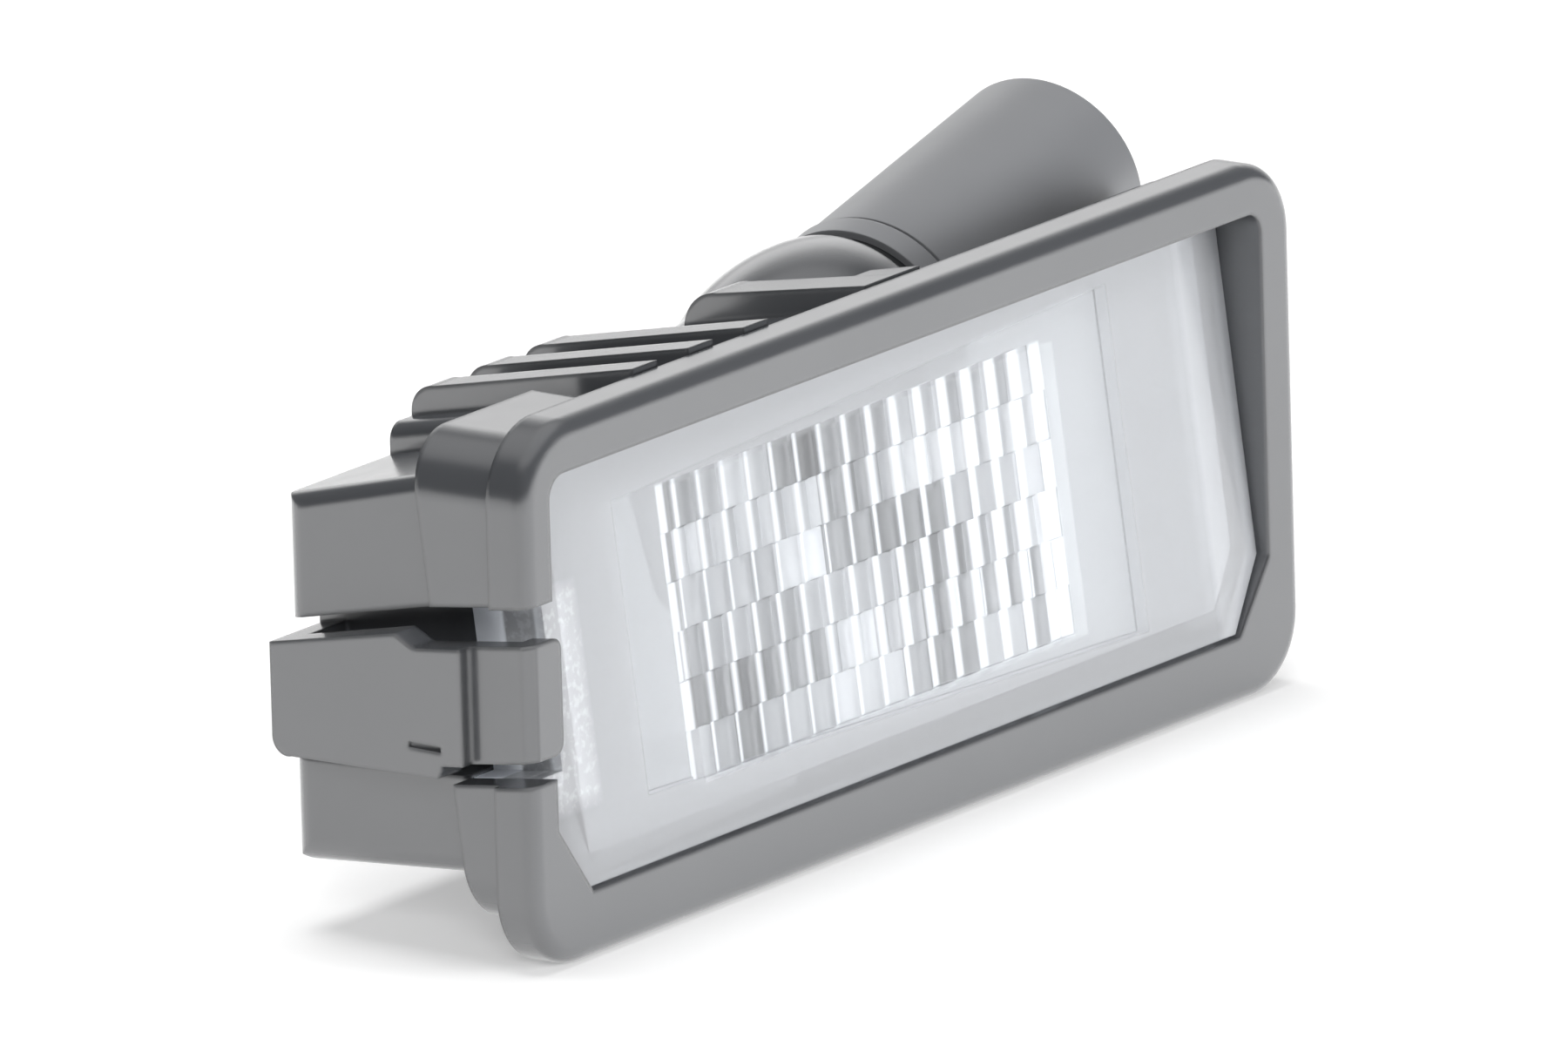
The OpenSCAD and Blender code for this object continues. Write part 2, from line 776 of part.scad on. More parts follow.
module bulb_holder() {
    color("#54585a")
        difference() {
            union() {
                on_tube_axis(tube_l)
                    cylinder(r = tube_r, h = tube_l);
                on_tube_axis(seal_start)
                    cylinder(r = holder_flange_r, h = holder_flange_t);
                on_tube_axis(plug_end)
                    cylinder(r = plug_r, h = plug_end - seal_start);
            }
            on_tube_axis(tube_l)
                difference() {
                    cylinder(r = tube_r + wall, h = tube_groove_w);
                    translate([0, 0, -tube_groove_w])
                        cylinder(r = tube_r - tube_groove, h = 3 * tube_groove_w);
                }
            on_tube_axis(socket_depth)
                cylinder(r = socket_r, h = socket_depth + wall);
            on_tube_axis(plug_end + wall)
                translate([-wedge_t / 2 - contact_t - fit, -far, 0])
                    cube([wedge_t + 2 * (contact_t + fit), 2 * far, plug_end + wall - seat_start]);
            contacts();
        }
}

// One contact strip: a spring blade beside the bulb's base and a pin in the socket
module contact(side) {
    on_tube_axis(plug_end - seat_gap)
        translate([side > 0 ? wedge_t / 2 + fit : -wedge_t / 2 - fit - contact_t,
                   -contact_w / 2, 0])
            cube([contact_t, contact_w, plug_end - seat_gap - socket_depth + pin_l]);
}

module contacts() {
    contact(-1);
    contact(1);
}

module contact_front() {
    color("#b8963c")
        contact(-1);
}

module contact_rear() {
    color("#b8963c")
        contact(1);
}

module holder_seal() {
    color("#2b2d2f")
        on_tube_axis(boss_start)
            difference() {
                cylinder(r = holder_flange_r - seal_inset, h = seal_t);
                translate([0, 0, -1])
                    cylinder(r = seal_bore_r, h = seal_t + 2);
            }
}

// Wedge bulb: a flat glass base, a neck and a round envelope with a domed tip
module bulb() {
    color("#eef3f5", 0.7)
        on_tube_axis(bulb_tip) {
            rotate_extrude() {
                square([bulb_r - bulb_edge_r, bulb_l - seat_gap]);
                translate([0, bulb_edge_r])
                    square([bulb_r, bulb_l - bulb_edge_r - bulb_neck_l]);
                translate([bulb_r - bulb_edge_r, bulb_edge_r])
                    circle(bulb_edge_r);
                square([bulb_r - bulb_neck_in, bulb_l - seat_gap]);
            }
            translate([-wedge_t / 2, -wedge_w / 2, bulb_l - bulb_neck_l])
                cube([wedge_t, wedge_w, wedge_l + bulb_neck_l]);
        }
}

body();
lens();
reflector();
bulb_holder();
holder_seal();
bulb();
contact_front();
contact_rear();
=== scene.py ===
import math

import bmesh
import bpy
from mathutils import Matrix, Vector


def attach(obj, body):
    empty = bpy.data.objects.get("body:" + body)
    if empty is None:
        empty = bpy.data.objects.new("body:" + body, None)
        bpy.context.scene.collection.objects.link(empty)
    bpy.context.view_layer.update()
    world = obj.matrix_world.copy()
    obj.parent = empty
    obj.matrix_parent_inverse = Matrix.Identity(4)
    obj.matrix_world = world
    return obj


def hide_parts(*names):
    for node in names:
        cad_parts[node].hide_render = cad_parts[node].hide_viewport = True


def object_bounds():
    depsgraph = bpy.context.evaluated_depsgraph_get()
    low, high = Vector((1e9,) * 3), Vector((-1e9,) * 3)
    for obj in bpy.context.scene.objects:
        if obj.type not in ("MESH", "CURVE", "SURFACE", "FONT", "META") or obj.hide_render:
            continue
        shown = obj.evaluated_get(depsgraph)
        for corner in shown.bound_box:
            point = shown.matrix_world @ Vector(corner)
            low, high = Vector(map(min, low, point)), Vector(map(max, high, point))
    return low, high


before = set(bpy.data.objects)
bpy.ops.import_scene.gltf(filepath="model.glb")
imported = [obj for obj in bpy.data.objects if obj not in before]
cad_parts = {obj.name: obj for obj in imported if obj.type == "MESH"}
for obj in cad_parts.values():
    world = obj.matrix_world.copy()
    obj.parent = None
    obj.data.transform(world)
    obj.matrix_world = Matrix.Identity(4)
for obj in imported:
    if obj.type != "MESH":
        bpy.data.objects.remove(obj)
cad_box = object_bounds()
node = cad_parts
MM = 0.001


# ---------------------------------------------------------------- node helpers

# Nearly all of a noise's values lie between these two
NOISE_LOW, NOISE_HIGH = 0.3, 0.7


def fill(made, **values):
    """Sets sockets of a node by name, with _ for each space."""
    for key, value in values.items():
        made.inputs[key.replace("_", " ")].default_value = value


class Shade:
    """A material with its node tree, and short calls for the nodes used here.

    Places are in metres, so a noise's scale is its number of waves in a metre.
    """

    def __init__(self, name):
        self.mat = bpy.data.materials.new(name)
        self.mat.use_nodes = True
        self.tree = self.mat.node_tree
        self.bsdf = self.tree.nodes["Principled BSDF"]
        self.out = self.tree.nodes["Material Output"]
        self.place = self.add("ShaderNodeTexCoord").outputs["Object"]

    def add(self, kind, **values):
        made = self.tree.nodes.new(kind)
        for key, value in values.items():
            setattr(made, key, value)
        return made

    def link(self, a, b):
        self.tree.links.new(a, b)

    def stretched(self, stretch):
        made = self.add("ShaderNodeMapping")
        fill(made, Scale=stretch)
        self.link(self.place, made.inputs["Vector"])
        return made.outputs["Vector"]

    def noise(self, scale, detail, place=None):
        made = self.add("ShaderNodeTexNoise")
        fill(made, Scale=scale, Detail=detail)
        self.link(self.place if place is None else place, made.inputs["Vector"])
        return made.outputs["Fac"]

    def math(self, operation, a, b=0.0):
        """A Math node; a and b may be sockets or numbers."""
        made = self.add("ShaderNodeMath", operation=operation)
        for value, socket in zip((a, b), made.inputs):
            if isinstance(value, (int, float)):
                socket.default_value = value
            else:
                self.link(value, socket)
        return made.outputs[0]

    def mix(self, fac, a, b):
        """a where fac is 0 and b where it is 1, for sockets or numbers."""
        return self.math("ADD", self.math("MULTIPLY", b, fac),
                         self.math("MULTIPLY", a, self.math("SUBTRACT", 1.0, fac)))

    def spread(self, value, low, high, start=NOISE_LOW, end=NOISE_HIGH):
        """Goes from low to high while value goes from start to end, and stays there."""
        made = self.add("ShaderNodeMapRange")
        fill(made, From_Min=start, From_Max=end, To_Min=low, To_Max=high)
        self.link(value, made.inputs["Value"])
        return made.outputs["Result"]

    def inside(self, value, low, high, soft):
        """1 where value lies between low and high, with edges that are 2 * soft wide."""
        up = self.spread(value, 0.0, 1.0, low - soft, low + soft)
        down = self.spread(value, 1.0, 0.0, high - soft, high + soft)
        return self.math("MULTIPLY", up, down)

    def blend(self, value, low, high, start=NOISE_LOW, end=NOISE_HIGH):
        """As spread, from one colour to another."""
        ramp = self.add("ShaderNodeValToRGB")
        for element, place, colour in zip(ramp.color_ramp.elements, (start, end), (low, high)):
            element.position = place
            element.color = (*colour, 1)
        self.link(value, ramp.inputs["Fac"])
        return ramp.outputs["Color"]

    def bump(self, height, distance, strength, under):
        made = self.add("ShaderNodeBump")
        fill(made, Distance=distance, Strength=strength)
        self.link(height, made.inputs["Height"])
        self.link(under, made.inputs["Normal"])
        return made.outputs["Normal"]

    def soft_edges(self, radius):
        made = self.add("ShaderNodeBevel", samples=4)
        fill(made, Radius=radius)
        return made.outputs["Normal"]

    def mix_shader(self, fac, a, b):
        """a where fac is 0 and b where it is 1, for shaders."""
        made = self.add("ShaderNodeMixShader")
        for value, socket in zip((fac, a, b), made.inputs):
            self.link(value, socket)
        return made.outputs["Shader"]


def moulded(name, dark, light, rough, grain=0.003 * MM, edge=0.2 * MM, ior=1.5):
    """Moulded plastic or rubber: faint flow mottling, a fine eroded grain and softened edges."""
    s = Shade(name)
    mottling = s.noise(90, 3)
    wear = s.noise(260, 2)
    pits = s.noise(2600, 2)
    s.link(s.blend(mottling, dark, light, 0.2, 0.8), s.bsdf.inputs["Base Color"])
    s.link(s.spread(wear, rough - 0.02, rough + 0.03, 0.2, 0.8), s.bsdf.inputs["Roughness"])
    s.link(s.bump(pits, grain, 0.25, s.soft_edges(edge)), s.bsdf.inputs["Normal"])
    fill(s.bsdf, IOR=ior)
    return s


MILK_WHITE = (0.94, 0.96, 1.0)
SHADOW_TINT = (0.88, 0.89, 0.9)  # what is left of a lamp's light behind one face


def clear(name, tint, rough, milk=None):
    """Clear moulded plastic or glass that lets the lamps through to what lies behind it.

    milk is a function that makes three sockets: the share of milky surface, its brightness,
    and how much of it lets light through from behind.
    """
    s = Shade(name)
    fill(s.bsdf, IOR=1.49, Transmission_Weight=1.0)
    darker = tuple(c * 0.975 for c in tint)
    haze = s.noise(120, 3)
    wear = s.noise(500, 3)
    ripples = s.noise(300, 2)
    s.link(s.blend(haze, darker, tint, 0.2, 0.8), s.bsdf.inputs["Base Color"])
    s.link(s.spread(wear, rough * 0.8, rough * 1.25), s.bsdf.inputs["Roughness"])
    normal = s.bump(ripples, 0.006 * MM, 0.4, s.soft_edges(0.12 * MM))
    s.link(normal, s.bsdf.inputs["Normal"])
    shader = s.bsdf.outputs["BSDF"]
    if milk:
        share, level, glow_through = milk(s)
        frost = s.add("ShaderNodeBsdfPrincipled")
        fill(frost, Roughness=0.25)
        s.link(s.blend(level, (0.0, 0.0, 0.0), MILK_WHITE, 0.0, 1.0),
               frost.inputs["Base Color"])
        s.link(normal, frost.inputs["Normal"])
        lit = s.add("ShaderNodeBsdfTranslucent")
        fill(lit, Color=(*MILK_WHITE, 1))
        frosted = s.mix_shader(glow_through, frost.outputs["BSDF"], lit.outputs["BSDF"])
        shader = s.mix_shader(share, shader, frosted)
    through = s.add("ShaderNodeBsdfTransparent")
    fill(through, Color=(*SHADOW_TINT, 1))
    shadow_ray = s.add("ShaderNodeLightPath").outputs["Is Shadow Ray"]
    s.link(s.mix_shader(shadow_ray, shader, through.outputs["BSDF"]), s.out.inputs["Surface"])
    return s


def metal(name, dark, light, rough):
    """Bare metal with rolling marks along it and patches of duller tarnish."""
    s = Shade(name)
    tarnish = s.noise(500, 5)
    streaks = s.noise(600, 3, s.stretched((1, 9, 9)))
    marks = s.noise(1800, 2, s.stretched((1, 12, 12)))
    s.link(s.blend(tarnish, dark, light), s.bsdf.inputs["Base Color"])
    s.link(s.spread(streaks, rough - 0.08, rough + 0.1), s.bsdf.inputs["Roughness"])
    s.link(s.bump(marks, 0.006 * MM, 0.6, s.soft_edges(0.06 * MM)), s.bsdf.inputs["Normal"])
    fill(s.bsdf, Metallic=1.0)
    return s


def dress(thing, shade):
    thing.data.materials.clear()
    thing.data.materials.append(shade.mat)


# ------------------------------------------------------------------------ lens

# Places on the lens in mm, in its own plane: x along it, z up it, depth behind its front face
LENS_ORIGIN = (0, -2.25, -11)
LENS_TILT = 7
LENS_MID = 11.59                       # z of its middle line
FIELD = (-18.5, 16.5, 3.19, 19.19)     # the flutes' left, right, bottom and top
FLUTES, ROWS = 16, 6
POCKET = (-23.5, 21.9)                 # left and right end of the pocket round the flutes
POCKET_HALF = (7.9, 9.5)               # half its height at each end
NOTCH_PAINTED_GLINT = (-33, -27.7, 4.6, 16.0)  # left, right, bottom and top of the painted shine at the notch, a painted highlight
RIGHT_RIM = (28.0, 28.6)               # x at which the brighter right rim begins
REAR_DEPTH = (0.7, 0.9)                # depth at which the rear face's values take over
WALL_DEPTH = (2.5, 2.7)                # depth at which the notch's walls do

# How softly each part ends, to either side of its edge: in mm, or in shares of the height
FIELD_SOFT = 0.1
POCKET_SOFT, POCKET_SOFT_SHARE = 0.12, 0.012
PAINTED_GLINT_SOFT = (0.35, 0.5)               # along x and along z

# Milky share of the surface for the margin, the pocket and the flutes
FRONT_SHARE = (0.6, 0.34, 0.12)
REAR_SHARE = (0.9, 0.75, 0.92)
# The notch's walls: milk painted near white for light piped through the clear plastic, and real
# translucency by WALL_GLOW
WALL_SHARE, WALL_PAINTED_GLOW_LEVEL, WALL_GLOW = 0.9, 0.95, 0.6

# Brightness of the milk, from 0 for black to 1 for white
RIM_LEVEL = (0.43, 0.55)               # left of RIGHT_RIM and right of it
# The stripe's and the glint's levels are painted highlights
POCKET_LEVEL, STRIPE_LEVEL, PAINTED_GLINT_LEVEL = 0.44, 0.92, 0.78
FLUTE_LEVEL = (0.13, 0.6)              # drifts between these over the field
DRIFT_SCALE, DRIFT_RANGE = 0.23, (0.38, 0.62)
FLUTE_CHANCE = (-0.07, 0.06)           # and differs by this much from flute to flute

# Painted highlight: a white stripe on the left flank of each flute, where the light falls, in
# flutes' widths
ROW_STEP = -0.14                       # sideways step from row to row
STRIPE_WIDTH = (0.15, 0.42)
STRIPE_GROWS = (-4.0, 10.0)            # x over which it grows from the first to the second
STRIPE_EDGE = (0.04, 0.16)             # where each of its sides fades
LEFT_END, RIGHT_END = 0.7, 0.9         # width in mm of the white ends of the field


def lens_place(s):
    """x, depth and z on the lens in mm, in its own plane."""
    scaled = s.add("ShaderNodeVectorMath", operation="SCALE")
    fill(scaled, Scale=1 / MM)
    s.link(s.place, scaled.inputs[0])
    moved = s.add("ShaderNodeVectorMath", operation="SUBTRACT")
    s.link(scaled.outputs[0], moved.inputs[0])
    moved.inputs[1].default_value = LENS_ORIGIN
    turned = s.add("ShaderNodeVectorRotate", rotation_type="X_AXIS")
    fill(turned, Angle=math.radians(LENS_TILT))
    s.link(moved.outputs[0], turned.inputs["Vector"])
    split = s.add("ShaderNodeSeparateXYZ")
    s.link(turned.outputs[0], split.inputs[0])
    return split.outputs


def flute_level(s, x, z):
    """Brightness in the fluted field: a random tone for each flute, and a white stripe, a
    painted highlight on its left flank.
    """
    left, right, bottom, top = FIELD
    row = s.math("FLOOR", s.math("DIVIDE", s.math("SUBTRACT", z, bottom), (top - bottom) / ROWS))
    column = s.math("DIVIDE", s.math("SUBTRACT", x, left), (right - left) / FLUTES)
    column = s.math("ADD", column, s.math("MULTIPLY", row, ROW_STEP))
    along = s.math("FRACT", column)
    cell = s.add("ShaderNodeCombineXYZ")
    s.link(s.math("FLOOR", column), cell.inputs[0])
    s.link(row, cell.inputs[1])
    drift = s.noise(DRIFT_SCALE, 2, cell.outputs[0])
    chance = s.add("ShaderNodeTexWhiteNoise", noise_dimensions="2D")
    s.link(cell.outputs[0], chance.inputs["Vector"])
    tone = s.math("ADD", s.spread(drift, *FLUTE_LEVEL, *DRIFT_RANGE),
                  s.spread(chance.outputs["Value"], *FLUTE_CHANCE, 0.0, 1.0))
    # The white stripe is a painted highlight on the flute's left flank
    past_stripe = s.math("SUBTRACT", along, s.spread(x, *STRIPE_WIDTH, *STRIPE_GROWS))
    painted_highlight = s.math("MULTIPLY", s.spread(along, 0.0, 1.0, *STRIPE_EDGE),
                    s.spread(past_stripe, 1.0, 0.0, *STRIPE_EDGE))
    ends = s.math("MAXIMUM", s.inside(x, left, left + LEFT_END, FIELD_SOFT),
                  s.inside(x, right - RIGHT_END, right, FIELD_SOFT))
    return s.mix(s.math("MAXIMUM", painted_highlight, ends), tone, STRIPE_LEVEL)


def lens_milk(s):
    """Frosted rim, pocket and flutes, with a painted highlight on each flute, a painted shine
    beside the notch, and the notch's walls painted white for light piped through them.
    """
    x, depth, z = lens_place(s)
    half = s.spread(x, *POCKET_HALF, *POCKET)
    off_mid = s.math("DIVIDE", s.math("ABSOLUTE", s.math("SUBTRACT", z, LENS_MID)), half)
    in_pocket = s.math("MULTIPLY", s.inside(x, *POCKET, POCKET_SOFT),
                       s.spread(off_mid, 1.0, 0.0, 1 - POCKET_SOFT_SHARE, 1 + POCKET_SOFT_SHARE))
    left, right, bottom, top = FIELD
    in_field = s.math("MULTIPLY", s.inside(x, left, right, FIELD_SOFT),
                      s.inside(z, bottom, top, FIELD_SOFT))

    def by_part(margin, pocket, flutes):
        return s.mix(in_field, s.mix(in_pocket, margin, pocket), flutes)

    level = by_part(s.spread(x, *RIM_LEVEL, *RIGHT_RIM), POCKET_LEVEL, flute_level(s, x, z))
    rear = s.spread(depth, 0.0, 1.0, *REAR_DEPTH)
    share = s.mix(rear, by_part(*FRONT_SHARE), by_part(*REAR_SHARE))
    # Painted highlight: a sparkling white patch beside the notch, for light piped through the
    # lens's edge
    left, right, bottom, top = NOTCH_PAINTED_GLINT
    painted_glint = s.math("MULTIPLY", s.inside(x, left, right, PAINTED_GLINT_SOFT[0]),
                   s.inside(z, bottom, top, PAINTED_GLINT_SOFT[1]))
    painted_sparkle = s.spread(s.noise(2300, 2), 0.5, 0.9, 0.5, 0.66)
    level = s.mix(s.math("MULTIPLY", painted_glint, painted_sparkle), level, PAINTED_GLINT_LEVEL)
    # Painted glow: the notch's walls are made near-white milk for light piped through them
    walls = s.spread(depth, 0.0, 1.0, *WALL_DEPTH)
    return (s.mix(walls, share, WALL_SHARE), s.mix(walls, level, WALL_PAINTED_GLOW_LEVEL),
            s.math("MULTIPLY", walls, WALL_GLOW))


# --------------------------------------------------------------- the CAD nodes

dress(node["body"],
      moulded("body_plastic", (0.066, 0.069, 0.075), (0.074, 0.077, 0.083), 0.2,
              edge=0.4 * MM, ior=1.95))
dress(node["bulb_holder"],
      moulded("holder_plastic", (0.165, 0.169, 0.178), (0.185, 0.189, 0.198), 0.4, ior=1.7))
dress(node["lens"], clear("lens_clear", (0.95, 0.97, 0.98), 0.035, lens_milk))
dress(node["holder_seal"],
      moulded("seal_rubber", (0.012, 0.013, 0.014), (0.022, 0.023, 0.025), 0.62,
              grain=0.02 * MM, edge=0.1 * MM))
dress(node["reflector"],
      moulded("reflector_white", (0.7, 0.71, 0.72), (0.76, 0.77, 0.78), 0.3,
              grain=0.004 * MM))
brass = metal("contact_brass", (0.62, 0.45, 0.17), (0.75, 0.58, 0.26), 0.3)
dress(node["contact_front"], brass)
dress(node["contact_rear"], brass)


# ------------------------------------------------------------------------ bulb

# The tube's axis: its local Z points out of the open end, where its origin lies. The bulb is
# built on it in mm, so its heights are negative.
TUBE_END = (35, 13.4, 11.2)
TUBE_TURN, TUBE_RISE = 5.8, 10.3
AXIS = (Matrix.Translation(Vector(TUBE_END) * MM)
        @ Matrix.Rotation(math.radians(TUBE_TURN), 4, "Z")
        @ Matrix.Rotation(math.radians(90 - TUBE_RISE), 4, "Y"))


def piece(name, bm, smooth_angle=35):
    """Makes an object of bm, smooth but for edges of more than smooth_angle degrees."""
    mesh = bpy.data.meshes.new(name)
    bm.to_mesh(mesh)
    bm.free()
    for face in mesh.polygons:
        face.use_smooth = True
    mesh.set_sharp_from_angle(angle=math.radians(smooth_angle))
    made = bpy.data.objects.new(name, mesh)
    bpy.context.scene.collection.objects.link(made)
    return made


def lathe(name, profile, steps=64):
    """Turns a closed (radius, height) outline in mm round the bulb's axis."""
    bm = bmesh.new()
    rings = []
    for radius, height in profile:
        if radius < 1e-6:
            rings.append([bm.verts.new((0, 0, height * MM))])
            continue
        rings.append([bm.verts.new((radius * MM * math.cos(i * math.tau / steps),
                                    radius * MM * math.sin(i * math.tau / steps),
                                    height * MM))
                      for i in range(steps)])
    for low, high in zip(rings, rings[1:]):
        for i in range(steps):
            j = (i + 1) % steps
            corners = [low[i % len(low)], low[j % len(low)],
                       high[j % len(high)], high[i % len(high)]]
            # A point on the axis comes twice and is kept once
            bm.faces.new(list(dict.fromkeys(corners)))
    bmesh.ops.recalc_face_normals(bm, faces=bm.faces)
    bm.transform(AXIS)
    return piece(name, bm)


def skin(bm, rings):
    """Joins rings of equal length with faces, closes both ends and puts all on the axis."""
    for low, high in zip(rings, rings[1:]):
        for k in range(len(low)):
            m = (k + 1) % len(low)
            bm.faces.new((low[k], low[m], high[m], high[k]))
    bm.faces.new(rings[0][::-1])
    bm.faces.new(rings[-1])
    bmesh.ops.recalc_face_normals(bm, faces=bm.faces)
    bm.transform(AXIS)


def wire(name, points, radius, sides=10):
    """A round wire swept along points, in mm, with closed ends."""
    bm = bmesh.new()
    points = [Vector([v * MM for v in point]) for point in points]
    radius *= MM
    rings = []
    side = None
    for i, point in enumerate(points):
        ahead = points[min(i + 1, len(points) - 1)] - points[max(i - 1, 0)]
        ahead.normalize()
        if side is None:
            side = ahead.orthogonal().normalized()
        side = (side - ahead * side.dot(ahead)).normalized()
        other = ahead.cross(side)
        rings.append([bm.verts.new(point + radius * (side * math.cos(k * math.tau / sides)
                                                     + other * math.sin(k * math.tau / sides)))
                      for k in range(sides)])
    skin(bm, rings)
    return piece(name, bm)


# Radius, tip and rise of the domes, and (radius, height) of the sides
GLASS_DOME = (5.0, -47, 3.4)
GLASS_SIDE = [(5.0, -38), (4.85, -33), (4.2, -30), (3.3, -28.6), (3.1, -28.1), (0, -28.1)]
HOLLOW_DOME = (4.5, -46.5, 3.1)
HOLLOW_SIDE = [(0, -29.4), (3.0, -29.4), (3.7, -30.4), (4.4, -33), (4.5, -38)]
DOME_STEPS = 12
DOME_BLUNTNESS = 0.9


def dome(radius, tip, rise):
    """The outline of the bulb's rounded end, from its tip out to the full radius."""
    points = []
    for i in range(DOME_STEPS + 1):
        turn = i / DOME_STEPS * math.pi / 2
        points.append((radius * math.sin(turn) ** DOME_BLUNTNESS,
                       tip + rise * (1 - math.cos(turn))))
    return points


def hollow_glass(name):
    """The bulb's glass, with the hollow's faces turned inwards."""
    made = lathe(name, dome(*GLASS_DOME) + GLASS_SIDE)
    hollow = lathe("hollow", HOLLOW_SIDE + dome(*HOLLOW_DOME)[::-1])
    bm = bmesh.new()
    bm.from_mesh(made.data)
    outer_faces = len(bm.faces)
    bm.from_mesh(hollow.data)
    bm.faces.ensure_lookup_table()
    bmesh.ops.reverse_faces(bm, faces=bm.faces[outer_faces:])
    bpy.data.objects.remove(hollow)
    bm.to_mesh(made.data)
    bm.free()
    return made


# (height, half thickness, half width) of the flat base's sections, with a locking groove
BASE_SECTIONS = [(-28.6, 1.2, 3.6), (-27.6, 1.2, 4.6), (-25.6, 1.2, 4.6), (-25.2, 0.85, 4.6),
                 (-24.4, 0.85, 4.6), (-24.0, 1.2, 4.6), (-22.6, 1.2, 4.6), (-22.15, 0.9, 4.3)]


def flat_base(name):
    """The pinched glass that goes into the holder's pocket."""
    bm = bmesh.new()
    skin(bm, [[bm.verts.new((a * x * MM, b * y * MM, z * MM))
               for a, b in ((-1, -1), (1, -1), (1, 1), (-1, 1))]
              for z, x, y in BASE_SECTIONS])
    return piece(name, bm, 20)


glass = clear("bulb_glass", (0.97, 0.98, 0.985), 0.01)
for made in (hollow_glass("bulb_envelope"), flat_base("bulb_base")):
    dress(made, glass)
    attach(made, "root")
    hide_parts("bulb")

LEAD = [(1.7, -27.9), (1.8, -30), (2.6, -33.5), (2.8, -36.4), (2.5, -37.2)]  # y, height
LEAD_RADIUS = 0.17
steel = metal("bulb_wires", (0.5, 0.5, 0.49), (0.66, 0.65, 0.63), 0.28)
for side, name in ((-1, "bulb_lead_front"), (1, "bulb_lead_rear")):
    lead = wire(name, [(0, side * y, z) for y, z in LEAD], LEAD_RADIUS)
    dress(lead, steel)
    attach(lead, "root")

TURNS, TURN_STEPS = 12, 10
COIL_RADIUS, COIL_HALF, COIL_WIRE = 0.22, 2.5, 0.06
COIL_HEIGHT, COIL_SAG = -37.2, 0.5


def coil_point(i):
    """Point i of the filament's coil, which bows away from the base in its middle."""
    turn = i / TURN_STEPS * math.tau
    along = -COIL_HALF + 2 * COIL_HALF * i / (TURNS * TURN_STEPS)
    middle = COIL_HEIGHT - COIL_SAG * (1 - (along / COIL_HALF) ** 2)
    return (COIL_RADIUS * math.cos(turn), along, middle + COIL_RADIUS * math.sin(turn))


filament = wire("bulb_filament", map(coil_point, range(TURNS * TURN_STEPS + 1)), COIL_WIRE,
                sides=6)
dress(filament, metal("filament_tungsten", (0.22, 0.22, 0.23), (0.34, 0.34, 0.35), 0.4))
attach(filament, "root")


# ----------------------------------------------------------------------- stage

def by_ray(shade, other, mirrored, camera):
    """A level for all other rays, one for reflections and glass, and one for the camera."""
    seen = shade.add("ShaderNodeLightPath").outputs
    rays = shade.math("MAXIMUM", seen["Is Glossy Ray"], seen["Is Transmission Ray"])
    return shade.mix(seen["Is Camera Ray"], shade.mix(rays, other, mirrored), camera)


FLOOR_REACH = 6.0
floor_mesh = bmesh.new()
bmesh.ops.create_grid(floor_mesh, x_segments=1, y_segments=1, size=FLOOR_REACH)
floor = piece("floor", floor_mesh)
floor.location = (0, 0, cad_box[0][2])
pale = Shade("floor_pale")
fill(pale.bsdf, Roughness=0.9, Specular_IOR_Level=0.1)
pale.link(pale.blend(pale.noise(3, 2), (0.78,) * 3, (0.8,) * 3), pale.bsdf.inputs["Base Color"])
# The glow whitens the floor for reflections and the camera, and keeps the object's shadow
glow = pale.add("ShaderNodeEmission")
pale.link(by_ray(pale, other=0.0, mirrored=0.9, camera=0.3), glow.inputs["Strength"])
total = pale.add("ShaderNodeAddShader")
pale.link(pale.bsdf.outputs["BSDF"], total.inputs[0])
pale.link(glow.outputs["Emission"], total.inputs[1])
pale.link(total.outputs["Shader"], pale.out.inputs["Surface"])
dress(floor, pale)

scene = bpy.context.scene
scene.view_settings.view_transform = "Standard"

# Reflections see a white softbox overhead and a white backdrop to the rear right, with a
# dark band between them. Each fades in between two cosines of the angle from its middle.
DARK_BAND = 0.03
SOFTBOX, SOFTBOX_FADE = 0.85, (0.65, 0.77)
BACKDROP, BACKDROP_FADE = 1.0, (0.66, 0.86)
BACKDROP_SIDE = (0.81, 0.586, 0)
ROOM = 0.2  # what lights the object from all around


class Sky(Shade):
    """The world's node tree, with the same short calls."""

    def __init__(self, name):
        self.world = bpy.data.worlds.new(name)
        self.world.use_nodes = True
        self.tree = self.world.node_tree
        self.background = self.tree.nodes["Background"]


sky = Sky("studio")
scene.world = sky.world
look = sky.add("ShaderNodeTexCoord").outputs["Generated"]
upward = sky.add("ShaderNodeSeparateXYZ")
sky.link(look, upward.inputs[0])
behind = sky.add("ShaderNodeVectorMath", operation="DOT_PRODUCT")
sky.link(look, behind.inputs[0])
behind.inputs[1].default_value = BACKDROP_SIDE
white = sky.math("MAXIMUM",
                 sky.spread(upward.outputs["Z"], DARK_BAND, SOFTBOX, *SOFTBOX_FADE),
                 sky.spread(behind.outputs["Value"], DARK_BAND, BACKDROP, *BACKDROP_FADE))
fill(sky.background, Color=(1, 1, 1, 1))
sky.link(by_ray(sky, other=ROOM, mirrored=white, camera=1.0),
         sky.background.inputs["Strength"])

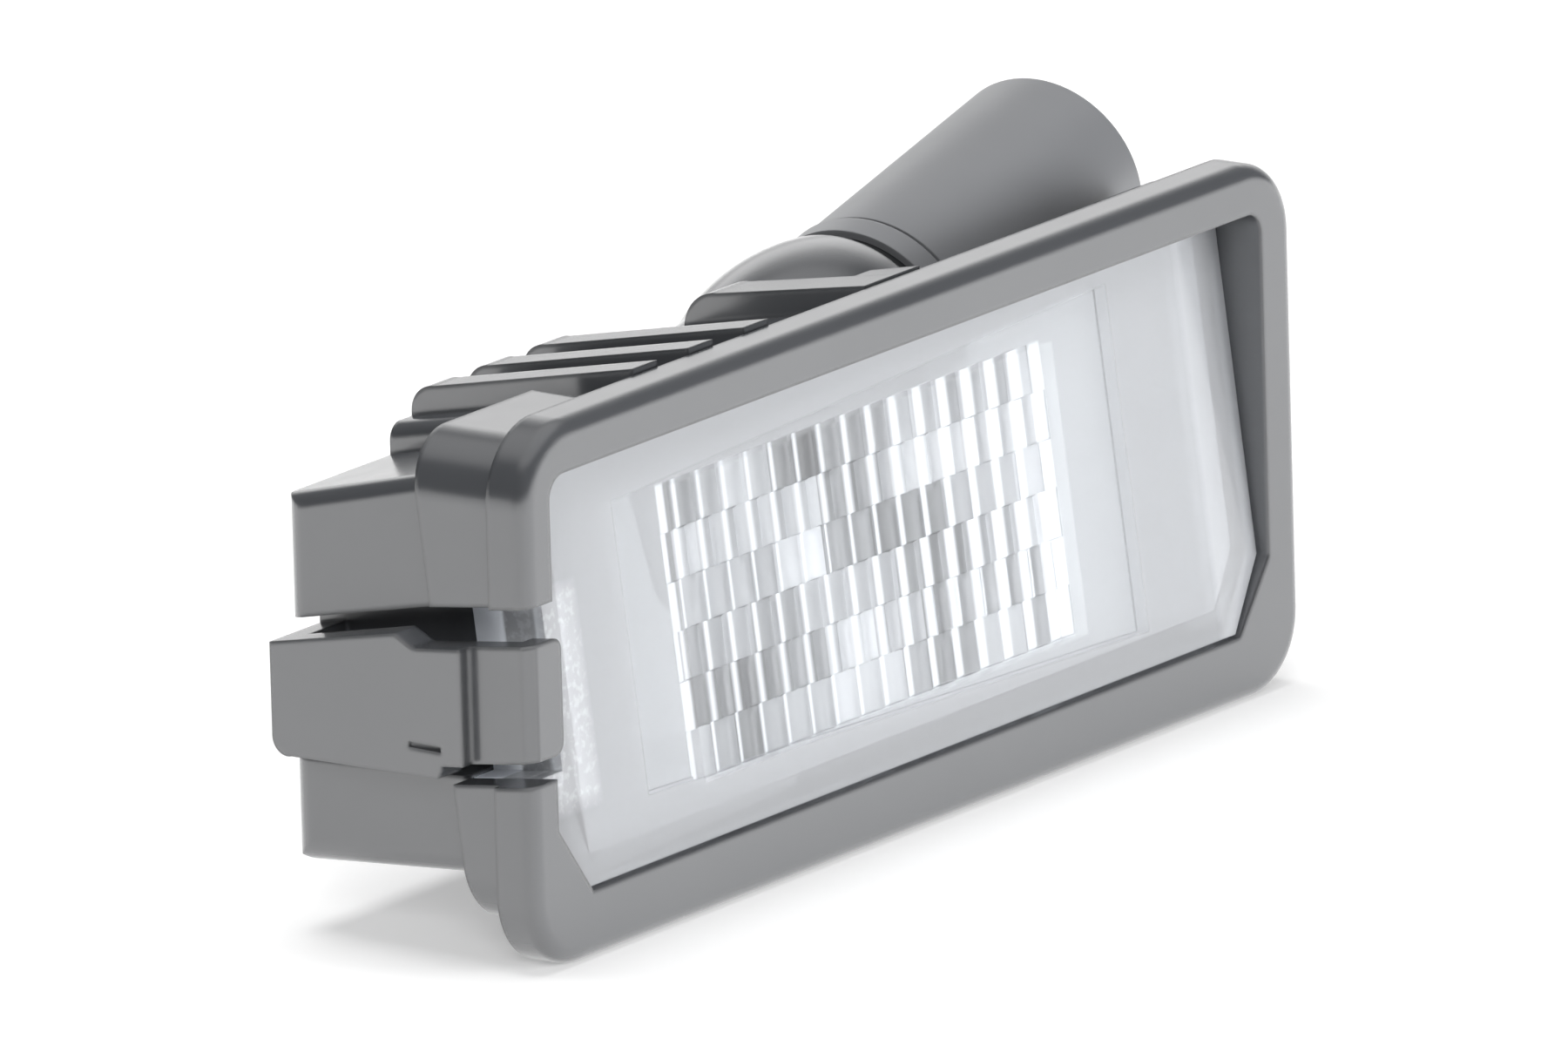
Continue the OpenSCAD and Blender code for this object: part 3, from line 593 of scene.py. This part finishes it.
# Name, place, width and height in metres, power in watts, and whether reflections show it.
# All aim at the origin.
LAMPS = [("key_top", (0.0, 0.1, 0.85), (0.5, 0.5), 5.0, False),
         ("key_front", (0.3, -0.55, 0.1), (0.35, 0.2), 3.6, False),
         ("key_left", (-0.65, -0.4, 0.4), (0.3, 0.3), 2.6, False),
         ("fill_back", (-0.15, 0.85, 0.22), (0.4, 0.3), 1.6, False),
         ("rim_back", (1.0, 0.73, 0.42), (1.0, 0.4), 0.9, True)]
for name, place, size, power, mirrored in LAMPS:
    data = bpy.data.lights.new(name, "AREA")
    data.shape = "RECTANGLE"
    data.size, data.size_y = size
    data.energy = power
    lamp = bpy.data.objects.new(name, data)
    scene.collection.objects.link(lamp)
    lamp.location = place
    aim = Vector((0, 0, 0)) - Vector(place)
    lamp.rotation_euler = aim.to_track_quat("-Z", "Y").to_euler()
    lamp.visible_glossy = mirrored

# The camera that was fitted to the photo, 2 m from the origin
CAMERA_ANGLES = (-54.0, 14.7, -1.6)  # azimuth, elevation and roll
CAMERA_AWAY = 2.0
CAMERA_RIGHT, CAMERA_UP = -4.92 * MM, 1.78 * MM
SENSOR, FOCAL = 36, 866.8            # mm

azimuth, elevation, roll = map(math.radians, CAMERA_ANGLES)
back = Vector((math.sin(azimuth) * math.cos(elevation),
               -math.cos(azimuth) * math.cos(elevation), math.sin(elevation)))
level_right = Vector((math.cos(azimuth), math.sin(azimuth), 0))
level_up = back.cross(level_right)
right = level_right * math.cos(roll) + level_up * math.sin(roll)
up = level_up * math.cos(roll) - level_right * math.sin(roll)
spot = back * CAMERA_AWAY + right * CAMERA_RIGHT + up * CAMERA_UP
camera_data = bpy.data.cameras.new("camera")
camera_data.sensor_width = SENSOR
camera_data.lens = FOCAL
camera_data.clip_end = 50
camera = bpy.data.objects.new("camera", camera_data)
scene.collection.objects.link(camera)
camera.matrix_world = Matrix((
    (right.x, up.x, back.x, spot.x),
    (right.y, up.y, back.y, spot.y),
    (right.z, up.z, back.z, spot.z),
    (0, 0, 0, 1)))
scene.camera = camera
